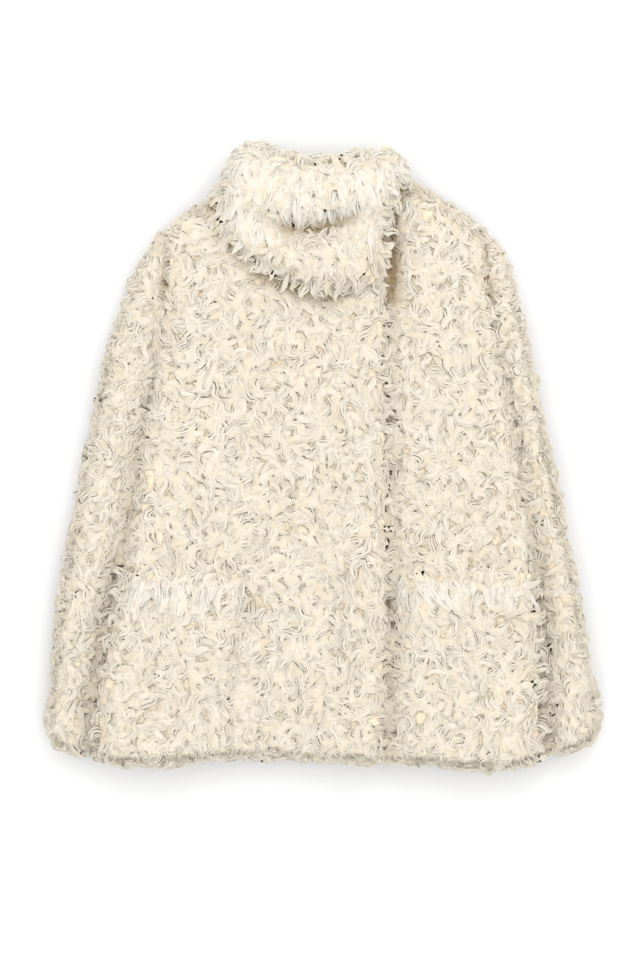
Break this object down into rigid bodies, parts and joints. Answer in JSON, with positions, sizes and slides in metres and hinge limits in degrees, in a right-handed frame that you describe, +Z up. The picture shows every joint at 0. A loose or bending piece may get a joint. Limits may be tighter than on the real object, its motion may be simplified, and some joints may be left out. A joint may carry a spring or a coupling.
{
  "type": "faux fur coat lying flat",
  "caption": "Cream curly faux fur coat laid flat on its back, with a lapped front, a folded funnel collar, patch pockets and long sleeves.",
  "frame": {"origin": "middle of the ground that the coat covers", "axes": "+Z up from the surface it lies on, +Y from hem to collar, +X from the wearer's right side to the left"},
  "size_m": [0.6508, 0.7316, 0.063],
  "materials": {
    "pile": "long curly cream faux fur pile on a knitted ground, matt with a soft sheen along the locks",
    "combed_pile": "the same cream faux fur where it rolls over a fold, a little lighter and more combed out"
  },
  "bodies": {
    "root": {"back": "pile", "front_right": "pile", "front_left": "pile", "sleeve_right": "pile", "sleeve_left": "pile", "collar": "combed_pile", "pocket_right": "pile", "pocket_left": "pile"}
  },
  "joints": []
}
